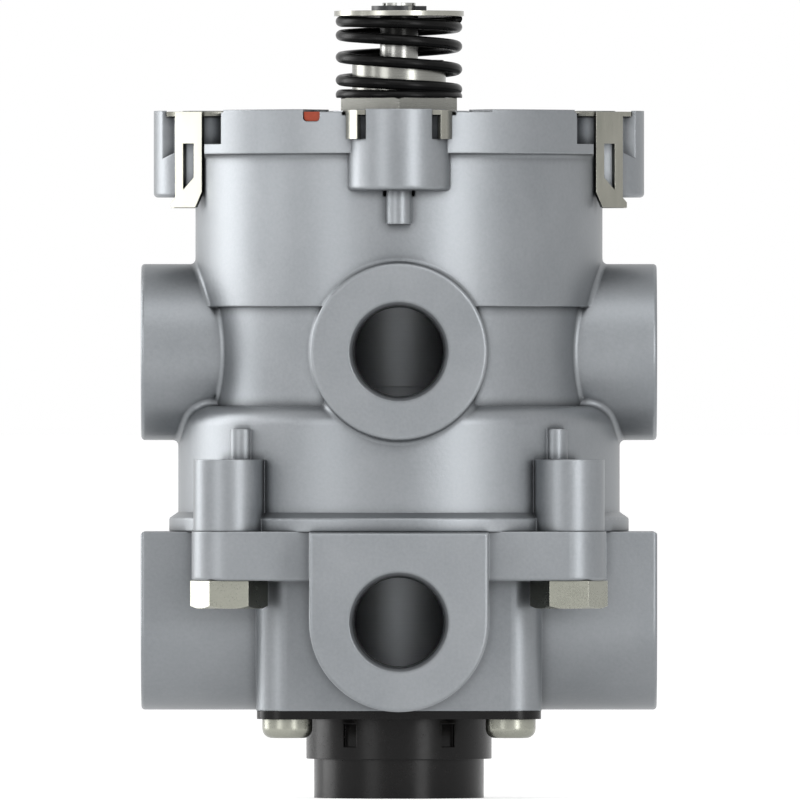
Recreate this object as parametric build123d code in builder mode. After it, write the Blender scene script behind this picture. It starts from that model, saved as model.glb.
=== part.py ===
from build123d import *
from math import acos, cos, degrees, radians, sin, sqrt
import os

# Dual-circuit foot brake valve, shown without its treadle, in millimetres.
# The origin is on the valve's axis, in the top plane of the mounting flange.
# +Z points up along the plunger, and the front delivery ports face -Y.
# The upper circuit is called primary, and the lower one secondary.

os.makedirs("parts", exist_ok=True)

# Clearances
slide_gap = 0.05
face_gap = 0.05
loose_gap = 0.3
seal_squeeze_gap = 0.02

# Upper housing, outside
crown_wall = 9.0
crown_above_port = 8.8
neck_step = 1.5
neck_below_port = 10.5
skirt_wall = 7.85
skirt_shoulder = 3.6
rim_proud = 1.75
rim_thick = 2.5
rim_slope = 1.2
flange_wide = 10.55
flange_thick = 8.5
flange_relief = 0.5
land_start = 25.5
land_end = 54.0
rim_fillet = 0.6
port_rim_fillet = 0.7
small_fillet = 1.0

# Mounting lugs
lug_offset = 6.25
lug_r = 9.9
front_lug_len = 15.7
side_lug_len = 16.8
lug_count = 4
mount_hole_r = 3.4
lug_end_fillet = 0.8
lug_nub_r = 2.45
lug_nub_len = 6.5
lug_nub_proud = 1.0

# Screw bosses of the upper housing
boss_spacing = 65.6
boss_r = 6.9
boss_len = 13.9
boss_nub_r = 2.33
boss_nub_len = 5.9

# Ports
port_r = 17.1
port_proud = 2.4
port_bore_r = 8.85
port_bevel = 0.8
side_port_depth = 16.0
upper_port_drop = 46.8
passage_r = 3.2
passage_wide = 9.6
port_roof = 1.0

# Lower housing, outside
lower_flange_corner = 7.2
lower_flange_thick = 9.5
block_half = 27.6
block_corner = 6.0
lower_port_r = 17.3
lower_port_top_gap = 0.1

# Top cover and its ring
cover_recess = 1.5
cover_thick = 6.0
cover_ledge = 0.95
cover_boss_r = 14.0
cover_ring_wide = 2.6
cover_ring_thick = 1.1
cover_ring_gap = 24.0
ring_ear_r = 2.2
ring_ear_hole_r = 0.9

# Guide bush
hex_flats = 22.5
hex_high = 2.5
hex_bevel = 0.6
collar_r = 9.1
collar_high = 7.4
collar_bevel = 0.5
bush_relief = 0.15
bush_overhang = 0.5

# Plunger, washer and retaining ring
stem_r = 3.7
groove_deep = 0.8
tip_step = 0.5
tip_high = 0.6
tip_slot = 0.8
head_r = 11.0
head_thick = 3.0
washer_proud = 0.3
washer_thick = 1.0
ring_wide = 2.4
ring_thick = 1.0
retaining_ring_gap = 70.0

# Return spring on the plunger
spring_outer_r = 12.3
spring_wire_r = 1.05
spring_len = 15.8
spring_turns = 4.05
closed_turns = 0.85
closed_pitch = 2.2
points_per_turn = 16
coil_start = 180.0

# Rubber graduating spring
rubber_r = 12.6
rubber_hole_r = 3.0
rubber_high = 9.2

# Primary piston
piston_bore_r = 30.5
piston_disc_thick = 5.3
piston_rim_high = 6.0
piston_rim_wide = 4.5
cup_wall = 2.2
tube_r = 9.0
tube_bore_r = 6.5
tube_neck_step = 0.8
tube_neck_len = 4.0
seal_wide = 2.5
seal_deep = 2.6

# Delivery chambers and valve seats
piston_ledge_wide = 2.5
lower_chamber_r = 20.0
seat_wide = 2.0
seat_thick = 2.7
exhaust_gap = 1.0
valve_seat_gap = 0.1

# Inlet valves, their springs and their guides
valve_r = 13.5
valve_thick = 3.1
valve_tube_r = 6.5
valve_tube_bore_r = 4.5
valve_tube_len = 12.1
valve_chamber_wide = 3.0
inlet_high = 3.6
guide_flange_wide = 4.45
guide_flange_thick = 2.0
guide_cup_wall = 1.7
guide_floor_drop = 10.5
guide_floor_thick = 2.0
guide_end_gap = 0.1
spigot_r = 8.0
primary_spigot_len = 5.0
secondary_spigot_len = 3.0
guide_ring_wide = 2.2
guide_ring_thick = 1.2

# Relay piston
relay_bore_r = 35.0
relay_roof_thick = 4.8
relay_travel = 2.0
relay_disc_thick = 5.0
relay_hub_r = 12.0
hub_floor_thick = 1.5
relay_rim_wide = 3.9
relay_rim_len = 2.9
relay_floor_gap = 0.4

# Inner springs
piston_spring_wire_r = 0.8
piston_spring_turns = 4.0
relay_spring_inset = 2.5
relay_spring_wire_r = 0.9
relay_spring_turns = 3.6
relay_ledge_drop = 5.0
relay_ledge_wide = 5.0
valve_spring_inset = 3.8
valve_spring_wire_r = 0.7
valve_spring_turns = 4.0

# Rings of round rubber
cover_cord_r = 0.75
stem_cord_r = 0.65
guide_cord_r = 0.55
spigot_cord_r = 0.65
housing_cord_r = 0.9
housing_seal_offset = 2.4

# Housing bolts
bolt_r = 4.0
bolt_hole_r = 4.4
bolt_flats = 13.0
bolt_head_high = 5.35
bolt_head_gap = 1.0
bolt_grip = 10.5
bolt_tap_spare = 1.5

# Exhaust body, flap and screws
exhaust_plate_inset = 0.1
exhaust_plate_corner = 5.5
exhaust_plate_thick = 1.6
exhaust_neck_wall = 2.5
exhaust_neck_len = 7.9
exhaust_tube_r = 16.5
exhaust_tube_len = 7.6
exhaust_tube_wall = 2.0
neck_pocket_wide = 3.0
neck_pocket_high = 4.5
neck_pocket_deep = 0.9
neck_pocket_drop = 1.0
neck_pocket_angle = 32.0
spider_thick = 1.6
spider_hub_r = 4.0
spoke_wide = 3.0
spoke_count = 4
flap_gap = 1.3
flap_thick = 1.0
flap_stem_r = 1.6
flap_bulb_r = 2.4
pan_edge = 6.0
pan_head_r = 4.85
pan_head_high = 3.7
pan_shank_r = 2.5
pan_shank_len = 8.0
pan_tap_spare = 1.0
pan_hole_r = 2.75
pan_recess_wide = 1.1
pan_recess_long = 5.0
pan_recess_deep = 2.0

# Sheet-metal clips on the lugs
sheet = 0.9
clip_gap = 0.1
clip_drop = 0.2
clip_in = 3.8
clip_out = 7.3
clip_hole_gap = 1.0
prong_len = 5.6
prong_end = 70.0
leg_turn = 30.0
leg_near = -5.7
leg_far = 0.3
leg_len = 18.6
leg_slot_wide = 2.4
leg_slot_top = 6.4
leg_slot_len = 9.0
leg_hook = 0.9
leg_hook_high = 1.9
leg_corner = 1.5
clip_recess_in = 3.3
clip_recess_deep = 6.6
lug_groove_near = 6.4
lug_groove_far = 8.0
lug_groove_back = 5.6
side_groove_wide = 2.6
side_groove_len = 8.2
side_groove_slope = 1.2

# Red vent plug in the rim
plug_wide = 3.5
plug_high = 1.8
plug_corner = 0.8
plug_inset = 0.5
plug_len = 5.0
plug_angle = 246.2

# Radii and widths that follow from the bores and walls
cover_r = piston_bore_r + cover_ledge
crown_r = piston_bore_r + crown_wall
neck_r = crown_r - neck_step
skirt_r = relay_bore_r + skirt_wall
rim_r = skirt_r + rim_proud
flange_r = cover_r + flange_wide
lug_circle_r = cover_r + lug_offset
port_reach = lug_circle_r + lug_r + port_proud
port_mouth_r = port_bore_r + port_bevel
upper_chamber_r = piston_bore_r - piston_ledge_wide
relay_ledge_r = relay_bore_r - relay_ledge_wide
relay_spring_r = relay_ledge_r - relay_spring_inset
housing_seal_r = relay_bore_r + housing_seal_offset
tube_neck_r = tube_r - tube_neck_step
seat_hole_r = valve_r - seat_wide
guide_cup_bore_r = valve_r + loose_gap
guide_cup_r = guide_cup_bore_r + guide_cup_wall
guide_r = guide_cup_r + guide_flange_wide
valve_chamber_r = guide_cup_r + valve_chamber_wide
valve_spring_r = guide_cup_bore_r - valve_spring_inset
lower_flange_half = boss_spacing / 2 + lower_flange_corner
exhaust_plate_half = block_half - exhaust_plate_inset
pan_spacing = 2 * (block_half - pan_edge)
exhaust_neck_r = guide_cup_r + exhaust_neck_wall
exhaust_bore_r = exhaust_tube_r - exhaust_tube_wall
flap_r = exhaust_bore_r - flap_gap
bush_thread_r = collar_r - bush_relief
groove_r = stem_r - groove_deep
tip_r = stem_r - tip_step
ring_r = groove_r + slide_gap + ring_wide
washer_r = spring_outer_r + washer_proud
clip_hole_r = mount_hole_r + clip_hole_gap
bolt_corner_r = bolt_flats / sqrt(3)

# Levels of the upper ports and of the steps beside them
upper_port_z = -upper_port_drop
crown_bottom = upper_port_z + crown_above_port
neck_bottom = upper_port_z - neck_below_port

# Levels inside the upper housing
cover_top = -cover_recess
cover_bottom = cover_top - cover_thick
bush_bottom = cover_bottom - bush_overhang
head_top = bush_bottom - loose_gap
head_bottom = head_top - head_thick
rubber_top = head_bottom - face_gap
rubber_bottom = rubber_top - rubber_high
piston_floor = rubber_bottom - face_gap
piston_bottom = piston_floor - piston_disc_thick
upper_chamber_top = upper_port_z + port_bore_r + port_roof
upper_chamber_bottom = upper_port_z - port_bore_r - face_gap
primary_seat_under = upper_chamber_bottom - seat_thick
guide_drop = guide_floor_drop + guide_floor_thick
guide_ring_top = primary_seat_under - inlet_high - guide_flange_thick
relay_roof = guide_ring_top - guide_ring_thick - relay_roof_thick
relay_top = primary_seat_under - guide_drop - relay_floor_gap
relay_bottom = relay_top - relay_disc_thick
relay_rim_bottom = relay_bottom - relay_rim_len

# Levels of the joint between the housings and of everything below it
parting = relay_rim_bottom - relay_travel - loose_gap
skirt_bottom = parting + rim_thick
relay_ledge = parting - relay_ledge_drop
lower_port_z = parting - lower_port_r - lower_port_top_gap
lower_chamber_bottom = lower_port_z - port_bore_r - face_gap
secondary_seat_under = lower_chamber_bottom - seat_thick
lower_bottom = secondary_seat_under - inlet_high - guide_flange_thick - guide_end_gap
lower_flange_bottom = parting - lower_flange_thick
exhaust_plate_bottom = lower_bottom - exhaust_plate_thick
exhaust_neck_bottom = exhaust_plate_bottom - exhaust_neck_len
exhaust_bottom = exhaust_neck_bottom - exhaust_tube_len

# Levels of each circuit, measured from the underside of its valve seat
seat_under = {
    "primary": primary_seat_under,
    "secondary": secondary_seat_under,
}
spigot_len = {"primary": primary_spigot_len, "secondary": secondary_spigot_len}
guide_under = {name: level - guide_drop for name, level in seat_under.items()}

# Levels of the plunger's top end
hex_top = hex_high
spring_bottom = hex_top + face_gap
spring_top = spring_bottom + spring_len
washer_bottom = spring_top + face_gap
washer_top = washer_bottom + washer_thick
tip_bottom = washer_top + ring_thick

# Radii of the sheet metal round a lug
prong_inner_r = lug_r + clip_gap
prong_outer_r = prong_inner_r + sheet

# Edges of a side clip's leg, outwards from the lug's centre
leg_inner_x = prong_inner_r * sin(radians(leg_turn)) + leg_near * cos(radians(leg_turn))
leg_outer_x = prong_outer_r * sin(radians(leg_turn)) + leg_far * cos(radians(leg_turn))

# Directions of the repeated features, in degrees round the axis from +X
front, right, back, left = 270.0, 0.0, 90.0, 180.0
side_angles = [right, left]
screw_corners = GridLocations(boss_spacing, boss_spacing, 2, 2)


def half_section(*points):
    """Closed outline in the plane of radius and height, ready to turn round the axis."""
    with BuildSketch(Plane.XZ) as section:
        with BuildLine():
            Polyline(*points, close=True)
        make_face()
    return section.sketch


def ring_section(inner_r, outer_r, bottom, top):
    """Outline of a plain ring, ready to turn round the axis."""
    return half_section((inner_r, bottom), (outer_r, bottom), (outer_r, top), (inner_r, top))


def port_plane(angle, distance, height):
    """Plane across a port, facing out of it, with its X axis upright."""
    direction = Vector(1, 0, 0).rotate(Axis.Z, angle)
    return Plane(origin=direction * distance + Vector(0, 0, height), x_dir=(0, 0, 1), z_dir=direction)


def below_flange(edge):
    """True for an edge that lies wholly under the mounting flange and its lugs."""
    return edge.bounding_box().max.Z < -side_lug_len


def at_lug_end(edge):
    """True for the round edge at the bottom of a mounting lug."""
    lengths = (front_lug_len, side_lug_len)
    return edge.radius == lug_r and any(abs(edge.center().Z + length) < face_gap for length in lengths)


def on_port_face(edge):
    """True for an edge that lies in the outer face of a port."""
    middle = edge.bounding_box().center()
    return abs(max(abs(middle.X), abs(middle.Y)) - port_reach) < face_gap


def lug_plane(angle, height):
    """Level plane at a lug's centre, with its X axis pointing out from the valve."""
    outward = Vector(1, 0, 0).rotate(Axis.Z, angle)
    return Plane(origin=outward * lug_circle_r + Vector(0, 0, height), x_dir=outward)


def helix_coil(mean_r, wire_r, bottom, top, turns):
    """Even coil with its wire's ends between two levels."""
    rise = top - bottom - 2 * wire_r
    with BuildLine(Plane.XY.offset(bottom + wire_r)) as path:
        Helix(rise / turns, rise, mean_r)
    with BuildPart() as coil:
        with BuildSketch(Plane(origin=path.line @ 0, z_dir=path.line % 0)):
            Circle(wire_r)
        sweep(path=path.line, is_frenet=True)
    return coil.part


def closed_end_levels(rise, turns):
    """Heights along a coil whose first and last turns lie close together."""
    steps = round(turns * points_per_turn)
    open_pitch = (rise - 2 * closed_turns * closed_pitch) / (turns - 2 * closed_turns)
    levels = [0.0]
    for step in range(steps):
        turn = turns * (step + 0.5) / steps
        from_end = min(turn, turns - turn)
        blend = min(max((from_end - closed_turns) * 2 + 0.5, 0.0), 1.0)
        pitch = closed_pitch + (open_pitch - closed_pitch) * blend
        levels.append(levels[-1] + pitch * turns / steps)
    return [level * rise / levels[-1] for level in levels]


# Upper housing: one casting with the flange, lugs, ports and screw bosses
with BuildPart() as upper_housing:
    with BuildSketch(Plane.XZ) as upper_outline:
        with BuildLine():
            Polyline(
                (0, -flange_relief),
                (flange_r, -flange_relief),
                (flange_r, -flange_thick),
                (crown_r, -flange_thick),
                (crown_r, crown_bottom),
                (neck_r, crown_bottom),
                (neck_r, neck_bottom),
                (skirt_r, neck_bottom),
                (skirt_r, skirt_bottom + rim_slope),
                (rim_r, skirt_bottom),
                (rim_r, parting),
                (0, parting),
                close=True,
            )
        make_face()
        rounded_corners = [
            (skirt_r, neck_bottom, skirt_shoulder),
            (rim_r, skirt_bottom, rim_fillet),
            (crown_r, -flange_thick, small_fillet),
        ]
        for radius, level, size in rounded_corners:
            corner = upper_outline.vertices().sort_by_distance((radius, level))[0]
            fillet(corner, size)
    revolve(axis=Axis.Z)
    # Raised lands of the flange's top face
    for mirror_x in (-1, 1):
        for facing in (front, back):
            start = facing + (land_start if mirror_x > 0 else -land_end)
            with BuildSketch(Plane.XY.offset(-flange_relief)):
                with BuildLine():
                    outer = CenterArc((0, 0), flange_r, start, land_end - land_start)
                    inner = CenterArc((0, 0), cover_r, start, land_end - land_start)
                    Line(outer @ 0, inner @ 0)
                    Line(outer @ 1, inner @ 1)
                make_face()
            extrude(amount=flange_relief)
    # Recesses that leave room for the side clips
    for side in (-1, 1):
        clip_recess_x = lug_circle_r - clip_recess_in
        with Locations((side * (clip_recess_x + flange_r) / 2, 0, -clip_recess_deep / 2)):
            Box(flange_r - clip_recess_x, 2 * flange_r, clip_recess_deep, mode=Mode.SUBTRACT)
        leg_clear_x = lug_circle_r + leg_inner_x - clip_gap
        leg_clear_deep = flange_thick + small_fillet
        with Locations((side * (leg_clear_x + flange_r) / 2, 0, -leg_clear_deep / 2)):
            Box(flange_r - leg_clear_x, 2 * flange_r, leg_clear_deep, mode=Mode.SUBTRACT)
    # Mounting lugs
    for angle in (front, right, back, left):
        length = front_lug_len if angle in (front, back) else side_lug_len
        with BuildSketch(lug_plane(angle, -length)):
            Circle(lug_r)
        extrude(amount=length)
    lug_ends = upper_housing.edges().filter_by(GeomType.CIRCLE).filter_by(at_lug_end)
    fillet(lug_ends, lug_end_fillet)
    # Seats for the clips round a collar on each lug, and the front lug's two grooves
    seat_deep = clip_drop + sheet + clip_gap
    for angle in (front, right, left):
        with BuildSketch(lug_plane(angle, -seat_deep)):
            with Locations(((clip_out - clip_in) / 2, 0)):
                Rectangle(clip_out + clip_in + 2 * clip_gap, 2 * (prong_outer_r + clip_gap))
            Circle(clip_hole_r - clip_gap, mode=Mode.SUBTRACT)
        extrude(amount=seat_deep, mode=Mode.SUBTRACT)
    groove_mid = (lug_groove_near + lug_groove_far) / 2
    with BuildSketch(Plane.XY.offset(-clip_drop - prong_len)):
        with Locations((groove_mid, -lug_circle_r - lug_r), (-groove_mid, -lug_circle_r - lug_r)):
            Rectangle(lug_groove_far - lug_groove_near, 2 * lug_groove_back)
    extrude(amount=clip_drop + prong_len, mode=Mode.SUBTRACT)
    # Grooves with a sloping floor outside the legs of the side clips
    groove_start = lug_circle_r + leg_outer_x + clip_gap
    groove_end = groove_start + side_groove_wide
    for angle in (right, left):
        outward = Vector(1, 0, 0).rotate(Axis.Z, angle)
        for side in (-1, 1):
            groove_face = Plane(origin=(0, side * lug_groove_back, 0), x_dir=outward, z_dir=(0, side, 0))
            down = -groove_face.y_dir.Z
            with BuildSketch(groove_face):
                with BuildLine():
                    Polyline(
                        (groove_start, 0),
                        (groove_end, 0),
                        (groove_end, down * (side_groove_len + side_groove_slope)),
                        (groove_start, down * side_groove_len),
                        close=True,
                    )
                make_face()
            extrude(amount=lug_r, mode=Mode.SUBTRACT)
    # Notch for the vent plug
    with BuildSketch(port_plane(plug_angle, flange_r, -flange_relief)):
        RectangleRounded(2 * (plug_high + face_gap), plug_wide + 2 * face_gap, plug_corner)
    extrude(amount=-plug_inset - plug_len - face_gap, mode=Mode.SUBTRACT)
    # Port bosses
    for angle in (front, right, left):
        with BuildSketch(port_plane(angle, port_reach, upper_port_z)):
            Circle(port_r)
        extrude(amount=-port_reach)
    port_joints = upper_housing.edges().filter_by(GeomType.BSPLINE).filter_by(below_flange)
    fillet(port_joints, small_fillet)
    port_rims = upper_housing.edges().filter_by(on_port_face)
    fillet(port_rims, port_rim_fillet)
    # Screw bosses with the small nubs above them
    with BuildSketch(Plane.XY.offset(parting)):
        with Locations(*screw_corners.locations):
            Circle(boss_r)
    extrude(amount=boss_len)
    nub_spacing = skirt_r * sqrt(2)
    with BuildSketch(Plane.XY.offset(parting + boss_len)):
        with GridLocations(nub_spacing, nub_spacing, 2, 2):
            Circle(boss_nub_r)
    extrude(amount=boss_nub_len)
    with BuildSketch(Plane.XY.offset(-front_lug_len - lug_nub_len)):
        with Locations((0, -crown_r - lug_nub_proud), (0, crown_r + lug_nub_proud)):
            Circle(lug_nub_r)
    extrude(amount=lug_nub_len)
    # Bore for the cover and groove for its ring
    revolve(ring_section(0, cover_r + slide_gap, cover_bottom, small_fillet), axis=Axis.Z, mode=Mode.SUBTRACT)
    ring_groove_r = cover_r + slide_gap + cover_ring_wide / 2
    revolve(
        ring_section(0, ring_groove_r, cover_top, cover_top + cover_ring_thick),
        axis=Axis.Z,
        mode=Mode.SUBTRACT,
    )
    # Bores of the primary piston, its chamber, the valve, its guide and the relay piston
    guide_seat = seat_under["primary"] - inlet_high
    bores = [
        (piston_bore_r, cover_bottom, upper_chamber_top),
        (upper_chamber_r, upper_chamber_top, upper_chamber_bottom),
        (seat_hole_r, upper_chamber_bottom, seat_under["primary"]),
        (valve_chamber_r, seat_under["primary"], guide_seat),
        (guide_r + slide_gap, guide_seat, relay_roof),
        (guide_r + slide_gap + guide_ring_wide / 2, guide_ring_top, guide_ring_top - guide_ring_thick),
        (relay_bore_r, relay_roof, parting),
    ]
    for radius, top, bottom in bores:
        revolve(ring_section(0, radius, bottom, top), axis=Axis.Z, mode=Mode.SUBTRACT)
    # Port bores, with a bevel at each mouth
    for angle in (front, right, left):
        depth = port_reach - upper_chamber_r / 2 if angle == front else side_port_depth
        with Locations(port_plane(angle, port_reach, upper_port_z).location):
            CounterSinkHole(port_bore_r, port_mouth_r, depth, counter_sink_angle=90)
    # Supply passages from the side ports down to the valve chamber
    for side in (-1, 1):
        passage_x = side * (port_reach - side_port_depth + passage_r)
        passage_z = seat_under["primary"] - inlet_high / 2
        with BuildSketch(Plane(origin=(passage_x, 0, passage_z - passage_r / 2))):
            Circle(passage_r)
        extrude(amount=upper_port_z - passage_z, mode=Mode.SUBTRACT)
        with BuildSketch(Plane(origin=(passage_x, 0, passage_z), x_dir=(0, 1, 0), z_dir=(-side, 0, 0))):
            SlotOverall(passage_wide, inlet_high - 2 * face_gap)
        extrude(amount=abs(passage_x) - seat_hole_r, mode=Mode.SUBTRACT)
    # Tapped holes for the housing bolts and the mounting bolts
    with BuildSketch(Plane.XY.offset(parting)):
        with Locations(*screw_corners.locations):
            Circle(bolt_r + slide_gap)
    extrude(amount=bolt_grip + bolt_tap_spare, mode=Mode.SUBTRACT)
    mount_hole_len = max(front_lug_len, side_lug_len)
    with BuildSketch(Plane.XY.offset(-mount_hole_len)):
        with PolarLocations(lug_circle_r, lug_count):
            Circle(mount_hole_r)
    extrude(amount=mount_hole_len, mode=Mode.SUBTRACT)
upper_housing.part.label = "upper_housing"
export_step(upper_housing.part, "parts/upper_housing.step")


# Lower housing: one casting with its flange, three ports and the block between them
with BuildPart() as lower_housing:
    with BuildSketch(Plane.XY.offset(lower_flange_bottom)):
        RectangleRounded(2 * lower_flange_half, 2 * lower_flange_half, lower_flange_corner)
    extrude(amount=lower_flange_thick)
    fillet(lower_housing.edges().group_by(Axis.Z)[0], rim_fillet)
    with BuildSketch(Plane.XY.offset(lower_bottom)):
        RectangleRounded(2 * block_half, 2 * block_half, block_corner)
    extrude(amount=lower_flange_bottom - lower_bottom)
    for angle in (front, right, left):
        with BuildSketch(port_plane(angle, port_reach, lower_port_z)):
            Circle(lower_port_r)
            with Locations((lower_port_r / 2, 0)):
                Rectangle(lower_port_r, 2 * lower_port_r)
        extrude(amount=block_half - port_reach)
    port_rims = lower_housing.edges().filter_by(on_port_face)
    fillet(port_rims, port_rim_fillet)
    # Seat of the relay spring, delivery chamber, valve seat, valve chamber and guide bore
    guide_seat = seat_under["secondary"] - inlet_high
    bores = [
        (relay_ledge_r, parting, relay_ledge),
        (lower_chamber_r, relay_ledge, lower_chamber_bottom),
        (seat_hole_r, lower_chamber_bottom, seat_under["secondary"]),
        (valve_chamber_r, seat_under["secondary"], guide_seat),
        (guide_r + slide_gap, guide_seat, lower_bottom),
    ]
    for radius, top, bottom in bores:
        revolve(ring_section(0, radius, bottom, top), axis=Axis.Z, mode=Mode.SUBTRACT)
    groove_in = housing_seal_r - housing_cord_r - seal_squeeze_gap
    groove_out = housing_seal_r + housing_cord_r + seal_squeeze_gap
    groove_floor = parting - 2 * (housing_cord_r + seal_squeeze_gap)
    revolve(ring_section(groove_in, groove_out, groove_floor, parting), axis=Axis.Z, mode=Mode.SUBTRACT)
    # Port bores and supply passages
    for angle in (front, right, left):
        depth = port_reach - lower_chamber_r / 2 if angle == front else side_port_depth
        with Locations(port_plane(angle, port_reach, lower_port_z).location):
            CounterSinkHole(port_bore_r, port_mouth_r, depth, counter_sink_angle=90)
    for side in (-1, 1):
        passage_x = side * (port_reach - side_port_depth + passage_r)
        passage_z = seat_under["secondary"] - inlet_high / 2
        with BuildSketch(Plane(origin=(passage_x, 0, passage_z - passage_r / 2))):
            Circle(passage_r)
        extrude(amount=lower_port_z - passage_z, mode=Mode.SUBTRACT)
        with BuildSketch(Plane(origin=(passage_x, 0, passage_z), x_dir=(0, 1, 0), z_dir=(-side, 0, 0))):
            SlotOverall(passage_wide, inlet_high - 2 * face_gap)
        extrude(amount=abs(passage_x) - seat_hole_r, mode=Mode.SUBTRACT)
    # Room for the bolt heads beside the block
    with BuildSketch(Plane.XY.offset(lower_bottom)):
        with Locations(*screw_corners.locations):
            Circle(bolt_corner_r + bolt_head_gap)
    extrude(amount=lower_flange_bottom - lower_bottom, mode=Mode.SUBTRACT)
    # Holes for the housing bolts and the exhaust screws
    with BuildSketch(Plane.XY.offset(lower_flange_bottom)):
        with Locations(*screw_corners.locations):
            Circle(bolt_hole_r)
    extrude(amount=lower_flange_thick, mode=Mode.SUBTRACT)
    with BuildSketch(Plane.XY.offset(lower_bottom)):
        with GridLocations(pan_spacing, pan_spacing, 2, 2):
            Circle(pan_shank_r + slide_gap)
    extrude(amount=pan_shank_len, mode=Mode.SUBTRACT)
lower_housing.part.label = "lower_housing"
export_step(lower_housing.part, "parts/lower_housing.step")

# Rubber ring between the two housings
with BuildPart() as housing_seal:
    with Locations((0, 0, parting - housing_cord_r - seal_squeeze_gap)):
        Torus(housing_seal_r, housing_cord_r)
housing_seal.part.label = "housing_seal"
export_step(housing_seal.part, "parts/housing_seal.step")

# Four hex bolts, put in from below
with BuildPart() as housing_bolts:
    bevel_high = bolt_corner_r - bolt_flats / 2
    head_end = lower_flange_bottom - bolt_head_high
    with BuildSketch(Plane.XY.offset(head_end)):
        RegularPolygon(bolt_corner_r, 6)
    extrude(amount=bolt_head_high)
    revolve(
        half_section(
            (0, head_end),
            (bolt_flats / 2, head_end),
            (bolt_corner_r, head_end + bevel_high / 2),
            (bolt_corner_r, lower_flange_bottom),
            (0, lower_flange_bottom),
        ),
        axis=Axis.Z,
        mode=Mode.INTERSECT,
    )
    with BuildSketch(Plane.XY.offset(lower_flange_bottom)):
        Circle(bolt_r)
    extrude(amount=lower_flange_thick + bolt_grip)
bolt_group = [housing_bolts.part.moved(place) for place in screw_corners.locations]
housing_bolts.part = Compound(children=bolt_group)
housing_bolts.part.label = "housing_bolts"
export_step(housing_bolts.part, "parts/housing_bolts.step")

# Top cover with the threaded hole for the guide bush
with BuildPart() as top_cover:
    cover_groove_mid = (cover_top + cover_bottom) / 2
    cover_groove_top = cover_groove_mid + cover_cord_r + seal_squeeze_gap
    cover_groove_bottom = cover_groove_mid - cover_cord_r - seal_squeeze_gap
    cover_groove_r = cover_r - 2 * cover_cord_r
    revolve(
        half_section(
            (bush_thread_r + slide_gap, cover_bottom),
            (cover_r, cover_bottom),
            (cover_r, cover_groove_bottom),
            (cover_groove_r, cover_groove_bottom),
            (cover_groove_r, cover_groove_top),
            (cover_r, cover_groove_top),
            (cover_r, cover_top),
            (cover_boss_r, cover_top),
            (cover_boss_r, 0),
            (bush_thread_r + slide_gap, 0),
        ),
        axis=Axis.Z,
    )
top_cover.part.label = "top_cover"
export_step(top_cover.part, "parts/top_cover.step")

# Spring ring that holds the cover down
with BuildPart() as cover_ring:
    cover_ring_in = cover_r - cover_ring_wide / 2
    cover_ring_out = cover_r + cover_ring_wide / 2
    revolve(
        ring_section(cover_ring_in, cover_ring_out, cover_top, cover_top + cover_ring_thick),
        axis=Axis.Z,
        revolution_arc=360 - cover_ring_gap,
    )
    ear_turns = (0, 360 - cover_ring_gap)
    with BuildSketch(Plane.XY.offset(cover_top)):
        for turn in ear_turns:
            with PolarLocations(cover_ring_in - ring_ear_r / 2, 1, start_angle=turn):
                Circle(ring_ear_r)
            with PolarLocations(cover_ring_in - ring_ear_r / 2, 1, start_angle=turn):
                Circle(ring_ear_hole_r, mode=Mode.SUBTRACT)
    extrude(amount=cover_ring_thick)
cover_ring.part.label = "cover_ring"
export_step(cover_ring.part, "parts/cover_ring.step")

# Rubber ring round the cover
with BuildPart() as cover_seal:
    with Locations((0, 0, cover_groove_mid)):
        Torus(cover_r - cover_cord_r, cover_cord_r)
cover_seal.part.label = "cover_seal"
export_step(cover_seal.part, "parts/cover_seal.step")

# Hex guide bush with its turned collar
with BuildPart() as guide_bush:
    hex_corner_r = hex_flats / sqrt(3)
    with BuildSketch():
        RegularPolygon(hex_corner_r, 6, rotation=30)
    extrude(amount=hex_high)
    revolve(
        half_section(
            (0, 0),
            (hex_corner_r, 0),
            (hex_corner_r, hex_high - hex_bevel / 2),
            (hex_corner_r - hex_bevel, hex_high),
            (0, hex_high),
        ),
        axis=Axis.Z,
        mode=Mode.INTERSECT,
    )
    collar_top = hex_high + collar_high
    revolve(
        half_section(
            (0, bush_bottom),
            (bush_thread_r, bush_bottom),
            (bush_thread_r, hex_high),
            (collar_r, hex_high),
            (collar_r, collar_top - collar_bevel),
            (collar_r - collar_bevel, collar_top),
            (0, collar_top),
        ),
        axis=Axis.Z,
    )
    revolve(
        ring_section(0, stem_r + slide_gap, bush_bottom, collar_top),
        axis=Axis.Z,
        mode=Mode.SUBTRACT,
    )
    stem_seal_mid = hex_high + collar_high / 2
    stem_groove_half = stem_cord_r + seal_squeeze_gap
    stem_groove_r = stem_r + slide_gap + 2 * stem_cord_r + seal_squeeze_gap
    revolve(
        ring_section(0, stem_groove_r, stem_seal_mid - stem_groove_half, stem_seal_mid + stem_groove_half),
        axis=Axis.Z,
        mode=Mode.SUBTRACT,
    )
guide_bush.part.label = "guide_bush"
export_step(guide_bush.part, "parts/guide_bush.step")

# Rubber ring in the guide bush
with BuildPart() as stem_seal:
    with Locations((0, 0, stem_seal_mid)):
        Torus(stem_r + slide_gap + stem_cord_r, stem_cord_r)
stem_seal.part.label = "stem_seal"
export_step(stem_seal.part, "parts/stem_seal.step")

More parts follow.
